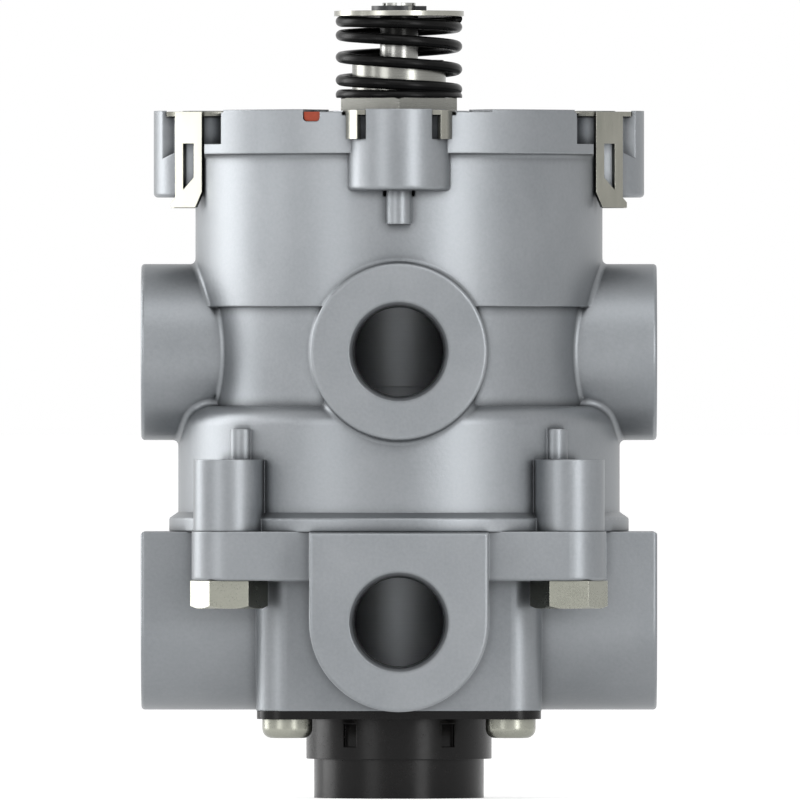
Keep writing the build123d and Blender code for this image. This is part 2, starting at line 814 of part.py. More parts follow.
# Plunger: stem, ring groove, slotted tip and the head that presses the rubber spring
with BuildPart() as plunger:
    tip_top = tip_bottom + tip_high
    revolve(
        half_section(
            (0, head_bottom),
            (head_r, head_bottom),
            (head_r, head_top),
            (stem_r, head_top),
            (stem_r, washer_top),
            (groove_r, washer_top),
            (groove_r, tip_bottom),
            (tip_r, tip_bottom),
            (tip_r, tip_top),
            (0, tip_top),
        ),
        axis=Axis.Z,
    )
    with BuildSketch(Plane.XY.offset(tip_bottom)):
        for slot_angle in (30, 90, 150):
            Rectangle(2 * tip_r, tip_slot, rotation=slot_angle)
    extrude(amount=tip_high, mode=Mode.SUBTRACT)
plunger.part.label = "plunger"
export_step(plunger.part, "parts/plunger.step")

# Wide washer on top of the return spring
with BuildPart() as spring_washer:
    revolve(
        ring_section(stem_r + slide_gap, washer_r, washer_bottom, washer_top),
        axis=Axis.Z,
    )
spring_washer.part.label = "spring_washer"
export_step(spring_washer.part, "parts/spring_washer.step")

# Open ring in the stem's groove
with BuildPart() as retaining_ring:
    revolve(
        ring_section(groove_r + slide_gap, ring_r, washer_top, tip_bottom),
        axis=Axis.Z,
        revolution_arc=360 - retaining_ring_gap,
    )
retaining_ring.part.label = "retaining_ring"
export_step(retaining_ring.part, "parts/retaining_ring.step")

# Black left-hand coil between the hex and the washer
with BuildPart() as return_spring:
    coil_mean_r = spring_outer_r - spring_wire_r
    coil_levels = closed_end_levels(spring_len - 2 * spring_wire_r, spring_turns)
    coil_points = []
    for step, rise in enumerate(coil_levels):
        angle = coil_start - 360 * spring_turns * step / (len(coil_levels) - 1)
        spoke = Vector(coil_mean_r, 0, spring_bottom + spring_wire_r + rise)
        coil_points.append(spoke.rotate(Axis.Z, angle))
    with BuildLine() as coil_path:
        Spline(*coil_points)
    with BuildSketch(Plane(origin=coil_path.line @ 0, z_dir=coil_path.line % 0)):
        Circle(spring_wire_r)
    sweep(path=coil_path.line, is_frenet=True)
return_spring.part.label = "return_spring"
export_step(return_spring.part, "parts/return_spring.step")

# Rubber block that passes the plunger's force to the primary piston
with BuildPart() as graduating_spring:
    revolve(ring_section(rubber_hole_r, rubber_r, rubber_bottom, rubber_top), axis=Axis.Z)
    rubber_edges = graduating_spring.edges().filter_by(GeomType.CIRCLE).group_by(SortBy.RADIUS)[-1]
    fillet(rubber_edges, small_fillet)
graduating_spring.part.label = "graduating_spring"
export_step(graduating_spring.part, "parts/graduating_spring.step")

# Primary piston: disc with a cup for the rubber and a long tube with the exhaust seat
with BuildPart() as primary_piston:
    piston_r = piston_bore_r - slide_gap
    piston_rim_top = piston_floor + piston_rim_high
    cup_r = rubber_r + 2 * loose_gap
    tube_end = seat_under["primary"] - valve_seat_gap + exhaust_gap
    piston_groove_mid = (piston_floor + piston_bottom) / 2
    piston_groove_top = piston_groove_mid + seal_wide / 2
    piston_groove_bottom = piston_groove_mid - seal_wide / 2
    revolve(
        half_section(
            (0, piston_floor),
            (cup_r, piston_floor),
            (cup_r, piston_rim_top),
            (cup_r + cup_wall, piston_rim_top),
            (cup_r + cup_wall, piston_floor),
            (piston_r - piston_rim_wide, piston_floor),
            (piston_r - piston_rim_wide, piston_rim_top),
            (piston_r, piston_rim_top),
            (piston_r, piston_groove_top),
            (piston_r - seal_deep, piston_groove_top),
            (piston_r - seal_deep, piston_groove_bottom),
            (piston_r, piston_groove_bottom),
            (piston_r, piston_bottom),
            (tube_r, piston_bottom),
            (tube_r, tube_end + tube_neck_len),
            (tube_neck_r, tube_end + tube_neck_len),
            (tube_neck_r, tube_end),
            (tube_bore_r, tube_end),
            (tube_bore_r, piston_bottom),
            (0, piston_bottom),
        ),
        axis=Axis.Z,
    )
primary_piston.part.label = "primary_piston"
export_step(primary_piston.part, "parts/primary_piston.step")

with BuildPart() as primary_piston_seal:
    revolve(
        ring_section(piston_r - seal_deep, piston_r, piston_groove_bottom, piston_groove_top),
        axis=Axis.Z,
    )
primary_piston_seal.part.label = "primary_piston_seal"
export_step(primary_piston_seal.part, "parts/primary_piston_seal.step")

# Relay piston: disc, hub with the bore for the guide's spigot, and the tube with its seat
with BuildPart() as relay_piston:
    relay_r = relay_bore_r - slide_gap
    hub_bore_r = spigot_r + slide_gap
    hub_floor = guide_under["primary"] - primary_spigot_len - exhaust_gap
    hub_bottom = hub_floor - hub_floor_thick
    relay_tube_end = seat_under["secondary"] - valve_seat_gap + exhaust_gap
    relay_groove_mid = (relay_top + relay_bottom) / 2
    relay_groove_top = relay_groove_mid + seal_wide / 2
    relay_groove_bottom = relay_groove_mid - seal_wide / 2
    hub_seal_mid = (relay_top + hub_floor) / 2
    hub_groove_half = spigot_cord_r + seal_squeeze_gap
    hub_groove_r = hub_bore_r + 2 * spigot_cord_r + seal_squeeze_gap
    revolve(
        half_section(
            (hub_bore_r, relay_top),
            (relay_r, relay_top),
            (relay_r, relay_groove_top),
            (relay_r - seal_deep, relay_groove_top),
            (relay_r - seal_deep, relay_groove_bottom),
            (relay_r, relay_groove_bottom),
            (relay_r, relay_rim_bottom),
            (relay_r - relay_rim_wide, relay_rim_bottom),
            (relay_r - relay_rim_wide, relay_bottom),
            (relay_hub_r, relay_bottom),
            (relay_hub_r, hub_bottom),
            (tube_r, hub_bottom),
            (tube_r, relay_tube_end),
            (tube_bore_r, relay_tube_end),
            (tube_bore_r, hub_floor),
            (hub_bore_r, hub_floor),
            (hub_bore_r, hub_seal_mid - hub_groove_half),
            (hub_groove_r, hub_seal_mid - hub_groove_half),
            (hub_groove_r, hub_seal_mid + hub_groove_half),
            (hub_bore_r, hub_seal_mid + hub_groove_half),
        ),
        axis=Axis.Z,
    )
relay_piston.part.label = "relay_piston"
export_step(relay_piston.part, "parts/relay_piston.step")

with BuildPart() as relay_piston_seal:
    revolve(
        ring_section(relay_r - seal_deep, relay_r, relay_groove_bottom, relay_groove_top),
        axis=Axis.Z,
    )
relay_piston_seal.part.label = "relay_piston_seal"
export_step(relay_piston_seal.part, "parts/relay_piston_seal.step")

with BuildPart() as relay_hub_seal:
    with Locations((0, 0, hub_seal_mid)):
        Torus(hub_bore_r + spigot_cord_r, spigot_cord_r)
relay_hub_seal.part.label = "relay_hub_seal"
export_step(relay_hub_seal.part, "parts/relay_hub_seal.step")

# Return springs of the two pistons, each between its piston and the ledge below it
piston_spring_r = (piston_bore_r + upper_chamber_r) / 2
piston_springs = {
    "primary_piston_spring": helix_coil(
        piston_spring_r,
        piston_spring_wire_r,
        upper_chamber_top + face_gap,
        piston_bottom - face_gap,
        piston_spring_turns,
    ),
    "relay_piston_spring": helix_coil(
        relay_spring_r,
        relay_spring_wire_r,
        relay_ledge + face_gap,
        relay_bottom - face_gap,
        relay_spring_turns,
    ),
}
for name, spring in piston_springs.items():
    spring.label = name
    export_step(spring, f"parts/{name}.step")

# Each circuit's inlet valve, its spring, its guide and the guide's seal
for circuit, under in seat_under.items():
    valve_top = under - valve_seat_gap
    valve_under = valve_top - valve_thick
    valve_end = under - valve_tube_len
    guide_top = under - inlet_high
    guide_flange_under = guide_top - guide_flange_thick
    guide_floor = under - guide_floor_drop
    spigot_end = guide_under[circuit] - spigot_len[circuit]
    guide_bore_r = valve_tube_r + slide_gap
    guide_groove_mid = (guide_top + guide_flange_under) / 2
    guide_groove_half = guide_cord_r + seal_squeeze_gap
    guide_groove_r = guide_r - 2 * guide_cord_r

    with BuildPart() as valve:
        revolve(
            half_section(
                (valve_tube_bore_r, valve_top),
                (valve_r, valve_top),
                (valve_r, valve_under),
                (valve_tube_r, valve_under),
                (valve_tube_r, valve_end),
                (valve_tube_bore_r, valve_end),
            ),
            axis=Axis.Z,
        )
    valve.part.label = f"{circuit}_valve"
    export_step(valve.part, f"parts/{circuit}_valve.step")

    with BuildPart() as guide:
        revolve(
            half_section(
                (guide_bore_r, spigot_end),
                (spigot_r, spigot_end),
                (spigot_r, guide_under[circuit]),
                (guide_cup_r, guide_under[circuit]),
                (guide_cup_r, guide_flange_under),
                (guide_r, guide_flange_under),
                (guide_r, guide_groove_mid - guide_groove_half),
                (guide_groove_r, guide_groove_mid - guide_groove_half),
                (guide_groove_r, guide_groove_mid + guide_groove_half),
                (guide_r, guide_groove_mid + guide_groove_half),
                (guide_r, guide_top),
                (guide_cup_bore_r, guide_top),
                (guide_cup_bore_r, guide_floor),
                (guide_bore_r, guide_floor),
            ),
            axis=Axis.Z,
        )
    guide.part.label = f"{circuit}_valve_guide"
    export_step(guide.part, f"parts/{circuit}_valve_guide.step")

    with BuildPart() as guide_seal:
        with Locations((0, 0, guide_groove_mid)):
            Torus(guide_r - guide_cord_r, guide_cord_r)
    guide_seal.part.label = f"{circuit}_guide_seal"
    export_step(guide_seal.part, f"parts/{circuit}_guide_seal.step")

    valve_spring = helix_coil(
        valve_spring_r,
        valve_spring_wire_r,
        guide_floor + face_gap,
        valve_under - face_gap,
        valve_spring_turns,
    )
    valve_spring.label = f"{circuit}_valve_spring"
    export_step(valve_spring, f"parts/{circuit}_valve_spring.step")

# Spring ring that holds the primary guide up
with BuildPart() as guide_ring:
    revolve(
        ring_section(
            guide_r - guide_ring_wide / 2,
            guide_r + guide_ring_wide / 2,
            guide_ring_top - guide_ring_thick,
            guide_ring_top,
        ),
        axis=Axis.Z,
        revolution_arc=360 - cover_ring_gap,
    )
guide_ring.part.label = "guide_ring"
export_step(guide_ring.part, "parts/guide_ring.step")

# Exhaust body: square plate, stepped neck and the spider that carries the flap
with BuildPart() as exhaust_body:
    spider_top = guide_under["secondary"] - secondary_spigot_len - exhaust_gap
    spider_bottom = spider_top - spider_thick
    cup_room_bottom = guide_under["secondary"] - loose_gap
    with BuildSketch(Plane.XY.offset(exhaust_plate_bottom)):
        RectangleRounded(2 * exhaust_plate_half, 2 * exhaust_plate_half, exhaust_plate_corner)
        with GridLocations(pan_spacing, pan_spacing, 2, 2):
            Circle(pan_hole_r, mode=Mode.SUBTRACT)
    extrude(amount=exhaust_plate_thick)
    revolve(
        half_section(
            (0, exhaust_bottom),
            (exhaust_tube_r, exhaust_bottom),
            (exhaust_tube_r, exhaust_neck_bottom),
            (exhaust_neck_r, exhaust_neck_bottom),
            (exhaust_neck_r, exhaust_plate_bottom),
            (0, exhaust_plate_bottom),
        ),
        axis=Axis.Z,
    )
    revolve(
        ring_section(0, guide_cup_r + slide_gap, cup_room_bottom, lower_bottom),
        axis=Axis.Z,
        mode=Mode.SUBTRACT,
    )
    revolve(
        ring_section(0, exhaust_bore_r, exhaust_bottom, cup_room_bottom),
        axis=Axis.Z,
        mode=Mode.SUBTRACT,
    )
    with BuildSketch(Plane.XY.offset(spider_bottom)):
        Circle(spider_hub_r)
        with PolarLocations(exhaust_tube_r / 2, spoke_count):
            Rectangle(exhaust_tube_r - loose_gap, spoke_wide)
        Circle(flap_stem_r + face_gap, mode=Mode.SUBTRACT)
    extrude(amount=spider_thick)
    for side in (-1, 1):
        for facing in (front, back):
            angle = facing + side * neck_pocket_angle
            pocket_z = exhaust_plate_bottom - neck_pocket_drop - neck_pocket_high / 2
            with BuildSketch(port_plane(angle, exhaust_neck_r, pocket_z)):
                Rectangle(neck_pocket_high, neck_pocket_wide)
            extrude(amount=-neck_pocket_deep, mode=Mode.SUBTRACT)
exhaust_body.part.label = "exhaust_body"
export_step(exhaust_body.part, "parts/exhaust_body.step")

# Rubber flap under the spider, held by its own bulb
with BuildPart() as exhaust_flap:
    flap_top = spider_bottom - face_gap
    bulb_bottom = spider_top + face_gap
    revolve(
        half_section(
            (0, flap_top - flap_thick),
            (flap_r, flap_top - flap_thick / 2),
            (flap_r, flap_top),
            (flap_stem_r, flap_top),
            (flap_stem_r, bulb_bottom),
            (flap_bulb_r, bulb_bottom),
            (flap_stem_r, bulb_bottom + flap_bulb_r / 2),
            (0, bulb_bottom + flap_bulb_r / 2),
        ),
        axis=Axis.Z,
    )
exhaust_flap.part.label = "exhaust_flap"
export_step(exhaust_flap.part, "parts/exhaust_flap.step")

# Four pan-head screws with cross recesses, put in from below
with BuildPart() as exhaust_screws:
    head_end = exhaust_plate_bottom - pan_head_high
    with BuildSketch(Plane.XY.offset(head_end)):
        Circle(pan_head_r)
    extrude(amount=pan_head_high)
    rounded_edge = exhaust_screws.edges().sort_by(Axis.Z)[0]
    fillet(rounded_edge, pan_head_high / 2)
    with BuildSketch(Plane.XY.offset(head_end)):
        Rectangle(pan_recess_long, pan_recess_wide)
        Rectangle(pan_recess_wide, pan_recess_long)
    extrude(amount=pan_recess_deep, mode=Mode.SUBTRACT)
    with BuildSketch(Plane.XY.offset(exhaust_plate_bottom)):
        Circle(pan_shank_r)
    extrude(amount=exhaust_plate_thick + pan_shank_len - pan_tap_spare)
screw_group = [exhaust_screws.part.moved(place) for place in GridLocations(pan_spacing, pan_spacing, 2, 2)]
exhaust_screws.part = Compound(children=screw_group)
exhaust_screws.part.label = "exhaust_screws"
export_step(exhaust_screws.part, "parts/exhaust_screws.step")


def clip_plate(angle):
    """Fork of sheet metal in the seat on top of a lug, open towards the valve."""
    with BuildPart() as plate:
        with BuildSketch(lug_plane(angle, -clip_drop - sheet)):
            with Locations(((clip_out - clip_in) / 2, 0)):
                Rectangle(clip_out + clip_in, 2 * prong_outer_r)
            Circle(prong_outer_r, mode=Mode.INTERSECT)
            Circle(clip_hole_r, mode=Mode.SUBTRACT)
        extrude(amount=sheet)
    return plate.part


# Front clip: the fork with two short curved prongs round the lug
with BuildPart() as front_clip:
    add(clip_plate(front))
    prong_start = degrees(acos(clip_out / prong_outer_r))
    for side in (-1, 1):
        start = prong_start if side > 0 else -prong_end
        with BuildSketch(lug_plane(front, -clip_drop - prong_len)):
            with BuildLine():
                outer = CenterArc((0, 0), prong_outer_r, start, prong_end - prong_start)
                inner = CenterArc((0, 0), prong_inner_r, start, prong_end - prong_start)
                Line(outer @ 0, inner @ 0)
                Line(outer @ 1, inner @ 1)
            make_face()
        extrude(amount=prong_len - sheet)
front_clip.part.label = "front_clip"
export_step(front_clip.part, "parts/front_clip.step")

def leg_face_plane(outward, side):
    """Upright plane in the outer face of a side clip's leg, facing the lug, at the level of the flange."""
    sideways = Vector(0, side, 0)
    facing_out = outward * sin(radians(leg_turn)) + sideways * cos(radians(leg_turn))
    along = outward * cos(radians(leg_turn)) - sideways * sin(radians(leg_turn))
    return Plane(origin=outward * lug_circle_r + facing_out * prong_outer_r, x_dir=along, z_dir=-facing_out)


# Side clips: the fork with two long slotted legs hooked under the lug
leg_top = -clip_drop
leg_bottom = leg_top - leg_len
hook_top = leg_bottom + leg_hook_high
slot_mid = (leg_near + leg_far) / 2
slot_left = slot_mid - leg_slot_wide / 2
slot_right = slot_mid + leg_slot_wide / 2
for name, angle in (("left_clip", left), ("right_clip", right)):
    with BuildPart() as side_clip:
        add(clip_plate(angle))
        outward = Vector(1, 0, 0).rotate(Axis.Z, angle)
        leg_planes = [leg_face_plane(outward, side) for side in (-1, 1)]
        with BuildSketch(Plane.XY.offset(leg_top - sheet)):
            with BuildLine():
                Polyline(
                    leg_planes[0].from_local_coords((leg_near, 0)),
                    leg_planes[0].from_local_coords((leg_far, 0)),
                    leg_planes[1].from_local_coords((leg_far, 0)),
                    leg_planes[1].from_local_coords((leg_near, 0)),
                    close=True,
                )
            make_face()
            with Locations(outward * lug_circle_r):
                Circle(clip_hole_r, mode=Mode.SUBTRACT)
        extrude(amount=sheet)
        for leg_plane in leg_planes:
            up = leg_plane.y_dir.Z
            with BuildSketch(leg_plane):
                with BuildLine():
                    Polyline(
                        (leg_near, up * leg_top),
                        (leg_far, up * leg_top),
                        (leg_far, up * hook_top),
                        (leg_far + leg_hook, up * (hook_top - leg_hook)),
                        (leg_far + leg_hook, up * leg_bottom),
                        (leg_near + leg_corner, up * leg_bottom),
                        (leg_near, up * (leg_bottom + 2 * leg_corner)),
                        close=True,
                    )
                make_face()
                with BuildLine():
                    Polyline(
                        (slot_left, -up * leg_slot_top),
                        (slot_right, -up * leg_slot_top),
                        (slot_right, -up * (leg_slot_top + leg_slot_len)),
                        (slot_left, -up * (leg_slot_top + leg_slot_len - leg_slot_wide)),
                        close=True,
                    )
                make_face(mode=Mode.SUBTRACT)
            extrude(amount=sheet)
    side_clip.part.label = name
    export_step(side_clip.part, f"parts/{name}.step")

# Red vent plug: the lower half of a short rounded bar, flush with the flange's relieved face
with BuildPart() as vent_plug:
    with BuildSketch(port_plane(plug_angle, flange_r - plug_inset, -flange_relief)):
        RectangleRounded(2 * plug_high, plug_wide, plug_corner)
    extrude(amount=-plug_len)
    split(bisect_by=Plane.XY.offset(-flange_relief), keep=Keep.BOTTOM)
vent_plug.part.label = "vent_plug"
export_step(vent_plug.part, "parts/vent_plug.step")
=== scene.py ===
import math

import bpy
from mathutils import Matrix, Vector


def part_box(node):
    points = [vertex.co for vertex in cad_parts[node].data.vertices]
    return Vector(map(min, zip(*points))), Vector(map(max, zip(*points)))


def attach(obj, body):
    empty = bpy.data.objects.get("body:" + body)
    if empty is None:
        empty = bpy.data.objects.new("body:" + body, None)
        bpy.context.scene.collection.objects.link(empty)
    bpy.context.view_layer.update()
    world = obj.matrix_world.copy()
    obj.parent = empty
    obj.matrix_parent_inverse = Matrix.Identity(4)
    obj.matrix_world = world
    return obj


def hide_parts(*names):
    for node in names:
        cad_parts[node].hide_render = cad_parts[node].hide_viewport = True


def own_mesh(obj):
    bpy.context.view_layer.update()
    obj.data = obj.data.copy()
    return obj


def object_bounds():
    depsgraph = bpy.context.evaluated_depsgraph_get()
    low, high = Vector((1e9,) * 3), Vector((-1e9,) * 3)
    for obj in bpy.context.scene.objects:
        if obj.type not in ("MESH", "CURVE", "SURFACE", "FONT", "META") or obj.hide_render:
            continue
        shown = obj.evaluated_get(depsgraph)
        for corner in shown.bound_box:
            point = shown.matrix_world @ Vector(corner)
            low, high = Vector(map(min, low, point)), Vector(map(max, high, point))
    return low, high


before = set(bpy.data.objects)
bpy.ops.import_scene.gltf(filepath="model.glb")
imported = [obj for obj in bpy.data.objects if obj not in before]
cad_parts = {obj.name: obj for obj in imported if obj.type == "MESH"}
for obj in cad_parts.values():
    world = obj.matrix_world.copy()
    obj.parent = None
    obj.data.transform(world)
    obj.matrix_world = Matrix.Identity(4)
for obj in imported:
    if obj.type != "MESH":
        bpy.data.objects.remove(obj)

# Looks of a dual-circuit foot brake valve, in metres.
# +Z points up along the plunger, and the front delivery ports face -Y.

cad_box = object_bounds()
MM = 0.001

# Camera: the picture shows 155.3 mm across at the valve's axis
VIEW_WIDTH = 155.3 * MM
VIEW_CENTRE = Vector((0.2 * MM, 0.0, -56.1 * MM))
CAMERA_DISTANCE = 6.0
SENSOR = 36.0

# What the lamps are aimed at
VALVE_MIDDLE = Vector((0, 0, -55 * MM))
LEFT_LEG = Vector((-40.6 * MM, -8 * MM, -9.5 * MM))

# Floor and background
FLOOR_HALF = 60.0
WHITE = (1.0, 1.0, 1.0, 1.0)
WORLD_STRENGTH = 0.45
FLOOR_GLOW = 0.62

# Return spring, with the height of the wire's middle at each half turn from the flange's top plane
COIL_MEAN_R = 11.25 * MM
COIL_WIRE_R = 1.05 * MM
COIL_LEVELS = [level * MM for level in (2.8, 3.15, 4.2, 6.0, 8.1, 10.45, 12.55, 14.7, 16.3, 17.4, 17.95)]

# Springs inside: mean radius, wire radius and half turns, as in the CAD
INNER_SPRINGS = {
    "primary_piston_spring": (29.25 * MM, 0.8 * MM, 8),
    "relay_piston_spring": (27.5 * MM, 0.9 * MM, 7),
    "primary_valve_spring": (10.0 * MM, 0.7 * MM, 8),
    "secondary_valve_spring": (10.0 * MM, 0.7 * MM, 8),
}
LEFT_HAND, RIGHT_HAND = -1, 1

# Ports
PORT_REACH = 50.0 * MM
PORT_BORE_R = 8.85 * MM
PORT_BEVEL = 0.8 * MM
PORT_LEVELS = {"primary": -46.8 * MM, "secondary": -98.9 * MM}
PORT_SIDES = {"front": Vector((0, -1, 0)), "right": Vector((1, 0, 0)), "left": Vector((-1, 0, 0))}

# Threads of the ports: the widths of a crest are shares of the pitch
THREAD_PITCH = 1.81 * MM
THREAD_HIGH = 0.28 * MM
THREAD_LENGTH = 13.5 * MM
THREAD_FOOT = 0.36
THREAD_CREST = 0.06
THREAD_START = 0.6
THREAD_SINK = 0.01 * MM
THREAD_STEPS = 64

# Painted shade in the corners of the metals, and painted shade in the mouths of the ports
CORNER_SHADE_REACH = 2.2 * MM
CORNER_SHADE_COLOUR = (0.02, 0.022, 0.025)
MOUTH_SHADE_COLOUR = (0.03, 0.032, 0.035)
MOUTH_SHARE = 0.85
MOUTH_FADE = (0.1 * MM, 1.2 * MM)
MOUTH_DEPTH = (6 * MM, 4 * MM)

# Painted shade and dark reflection of the spring's coils: the stem turns near black between these levels,
# up to the washer
STEM_SHADE = (12.6 * MM, 18.6 * MM)
STEM_SHADE_COLOUR = (0.006, 0.006, 0.006)
STEM_SHADE_SHARE = 0.95
STEM_SHADE_BLUR = (0.3 * MM, 0.1 * MM)

FINE_EDGE_R = 0.15 * MM


# Shader nodes
def add_node(tree, kind, settings=None, **inputs):
    """Shader node with its settings, its values and its links; i0 stands for its first input."""
    node = tree.nodes.new(kind)
    for key, value in (settings or {}).items():
        setattr(node, key, value)
    for key, value in inputs.items():
        by_place = key[0] == "i" and key[1:].isdigit()
        socket = node.inputs[int(key[1:]) if by_place else key.replace("_", " ")]
        if isinstance(value, bpy.types.NodeSocket):
            tree.links.new(value, socket)
        else:
            socket.default_value = value
    return node


def maths(tree, operation, first, second=0.0, clamp=False):
    """Result of one math node."""
    settings = {"operation": operation, "use_clamp": clamp}
    return add_node(tree, "ShaderNodeMath", settings, i0=first, i1=second).outputs[0]


def multiply(tree, first, second):
    """Product of two values."""
    return maths(tree, "MULTIPLY", first, second)


def weighted(tree, first, second, share):
    """Sum of a share of one value and the rest of another."""
    return maths(tree, "ADD", multiply(tree, first, share), multiply(tree, second, 1 - share))


def length_of(tree, x, y):
    """Length of a flat vector."""
    flat = add_node(tree, "ShaderNodeCombineXYZ", X=x, Y=y).outputs[0]
    return add_node(tree, "ShaderNodeVectorMath", {"operation": "LENGTH"}, i0=flat).outputs["Value"]


def noise(tree, vector, scale, detail=4.0, roughness=0.55):
    """Noise factor at so many features per metre."""
    node = add_node(
        tree, "ShaderNodeTexNoise", Vector=vector, Scale=scale, Detail=detail, Roughness=roughness
    )
    return node.outputs["Fac"]


def spread(tree, value, low, high, from_low=0.3, from_high=0.7):
    """Value mapped from one range, such as the middle of a noise's, to another."""
    node = add_node(
        tree,
        "ShaderNodeMapRange",
        Value=value,
        From_Min=from_low,
        From_Max=from_high,
        To_Min=low,
        To_Max=high,
    )
    return node.outputs["Result"]


def tone(tree, factor, dark, light):
    """Colour between two tones."""
    node = add_node(tree, "ShaderNodeMix", {"data_type": "RGBA"}, Factor=factor)
    node.inputs[6].default_value = (*dark, 1.0)
    node.inputs[7].default_value = (*light, 1.0)
    return node.outputs[2]


def cover(tree, factor, under, tint):
    """Colour with an even tint laid over it by a factor."""
    node = add_node(tree, "ShaderNodeMix", {"data_type": "RGBA"}, Factor=factor)
    tree.links.new(under, node.inputs[6])
    node.inputs[7].default_value = (*tint, 1.0)
    return node.outputs[2]


def stretch(tree, vector, x, y, z):
    """Coordinates scaled by axis, for grain that runs along one of them."""
    return add_node(tree, "ShaderNodeMapping", Vector=vector, Scale=(x, y, z)).outputs["Vector"]


def lighter(colour, gain, lift=0.0):
    """Colour made lighter, for worn edges."""
    return tuple(min(1.0, part * gain + lift) for part in colour)


def edge_mask(tree, radius, gain):
    """Near 1 within a small distance of an edge and 0 on open faces, with the rounded normal."""
    rounded = add_node(tree, "ShaderNodeBevel", {"samples": 6}, Radius=radius).outputs[0]
    normal = add_node(tree, "ShaderNodeNewGeometry").outputs["Normal"]
    dot = add_node(tree, "ShaderNodeVectorMath", {"operation": "DOT_PRODUCT"}, i0=rounded, i1=normal)
    bend = maths(tree, "SUBTRACT", 1.0, dot.outputs["Value"])
    return maths(tree, "MULTIPLY", bend, gain, clamp=True), rounded


def corner_shades(tree, colour, depth):
    """Colour with painted shade: an ambient occlusion node darkens it where faces meet in a narrow corner.
    """
    shut = add_node(tree, "ShaderNodeAmbientOcclusion", {"samples": 8}, Distance=CORNER_SHADE_REACH)
    factor = spread(tree, shut.outputs["AO"], depth, 0.0, from_low=0.45, from_high=0.95)
    return cover(tree, factor, colour, CORNER_SHADE_COLOUR)


def port_mouth_shade(tree, place, colour):
    """Colour with painted shade that turns dark in the bevels and bores of the ports."""
    axes = add_node(tree, "ShaderNodeSeparateXYZ", Vector=place).outputs
    across, along = (maths(tree, "ABSOLUTE", axes[axis]) for axis in ("X", "Y"))
    above_upper, above_lower = (
        maths(tree, "ABSOLUTE", maths(tree, "SUBTRACT", axes["Z"], level)) for level in PORT_LEVELS.values()
    )
    from_side = maths(tree, "MINIMUM", across, along)
    from_level = maths(tree, "MINIMUM", above_upper, above_lower)
    fade_in, fade_out = (PORT_BORE_R + reach for reach in MOUTH_FADE)
    inside = spread(tree, length_of(tree, from_side, from_level), MOUTH_SHARE, 0.0, fade_in, fade_out)
    deep, shallow = (PORT_REACH - depth for depth in MOUTH_DEPTH)
    outer = spread(tree, maths(tree, "MAXIMUM", across, along), 0.0, 1.0, deep, shallow)
    return cover(tree, multiply(tree, inside, outer), colour, MOUTH_SHADE_COLOUR)


# Materials
def start_material(name):
    """New material with its tree, its shader and object coordinates."""
    material = bpy.data.materials.new(name)
    material.use_nodes = True
    tree = material.node_tree
    shader = tree.nodes["Principled BSDF"]
    place = add_node(tree, "ShaderNodeTexCoord").outputs["Object"]
    return material, tree, shader, place


def finish_material(tree, shader, colour, roughness, height, depth, normal, **constants):
    """Joins colour, roughness and relief to the shader, and sets its even values."""
    tree.links.new(colour, shader.inputs["Base Color"])
    tree.links.new(roughness, shader.inputs["Roughness"])
    bump = add_node(tree, "ShaderNodeBump", Strength=1.0, Distance=depth, Height=height, Normal=normal)
    tree.links.new(bump.outputs["Normal"], shader.inputs["Normal"])
    for key, value in constants.items():
        shader.inputs[key.replace("_", " ")].default_value = value


def metal(name, dark, light, rough_low, rough_high, metallic=1.0, grain=1800.0,
          grain_depth=0.004 * MM, patch=90.0, edge_radius=0.2 * MM, edge_tone=None,
          streak=(1.0, 1.0, 1.0), corner_shade=0.6, ports=False):
    """Metal with soft patches, fine grain, worn edges, painted shade in its corners and, with ports,
    painted shade in its port mouths.
    """
    material, tree, shader, place = start_material(name)
    patches = noise(tree, place, patch)
    fine = noise(tree, stretch(tree, place, *streak), grain, detail=2.0)
    mixed = weighted(tree, patches, fine, 0.6)
    colour = tone(tree, spread(tree, mixed, 0.0, 1.0), dark, light)
    edges, rounded = edge_mask(tree, edge_radius, gain=4.0)
    if edge_tone:
        wear = spread(tree, noise(tree, place, scale=700.0), 0.35, 1.0)
        colour = cover(tree, multiply(tree, edges, wear), colour, edge_tone)
    # Painted shade: an ambient occlusion node darkens the colour in narrow corners.
    colour = corner_shades(tree, colour, corner_shade)
    # Painted shade: the port mouths and bores turn dark.
    if ports:
        colour = port_mouth_shade(tree, place, colour)
    roughness = spread(tree, mixed, rough_low, rough_high)
    finish_material(tree, shader, colour, roughness, fine, grain_depth, rounded, Metallic=metallic)
    return material


def turned_metal(name, dark, light, rough_low, rough_high, pitch, depth, along="radius", shade_band=None):
    """Metal with fine tool marks that run round the valve's axis, and a near-black band of painted shade
    and dark reflection between two levels.
    """
    material, tree, shader, place = start_material(name)
    axes = add_node(tree, "ShaderNodeSeparateXYZ", Vector=place).outputs
    run = length_of(tree, axes["X"], axes["Y"]) if along == "radius" else axes["Z"]
    lines = add_node(
        tree, "ShaderNodeTexNoise", {"noise_dimensions": "1D"}, W=run, Scale=1.0 / pitch, Detail=3.0
    ).outputs["Fac"]
    mixed = weighted(tree, lines, noise(tree, place, scale=120.0), 0.5)
    colour = tone(tree, spread(tree, mixed, 0.0, 1.0), dark, light)
    edges, rounded = edge_mask(tree, FINE_EDGE_R, gain=3.0)
    colour = cover(tree, multiply(tree, edges, 0.5), colour, lighter(light, 1.25))
    # Painted shade and dark reflection of the spring's coils: the colour turns near black between two
    # levels.
    if shade_band:
        (low, high), (low_blur, high_blur) = shade_band, STEM_SHADE_BLUR
        above = spread(tree, axes["Z"], 0.0, STEM_SHADE_SHARE, low - low_blur, low + low_blur)
        below = spread(tree, axes["Z"], 1.0, 0.0, high - high_blur, high + high_blur)
        colour = cover(tree, multiply(tree, above, below), colour, STEM_SHADE_COLOUR)
    roughness = spread(tree, mixed, rough_low, rough_high)
    finish_material(tree, shader, colour, roughness, lines, depth, rounded, Metallic=1.0)
    return material


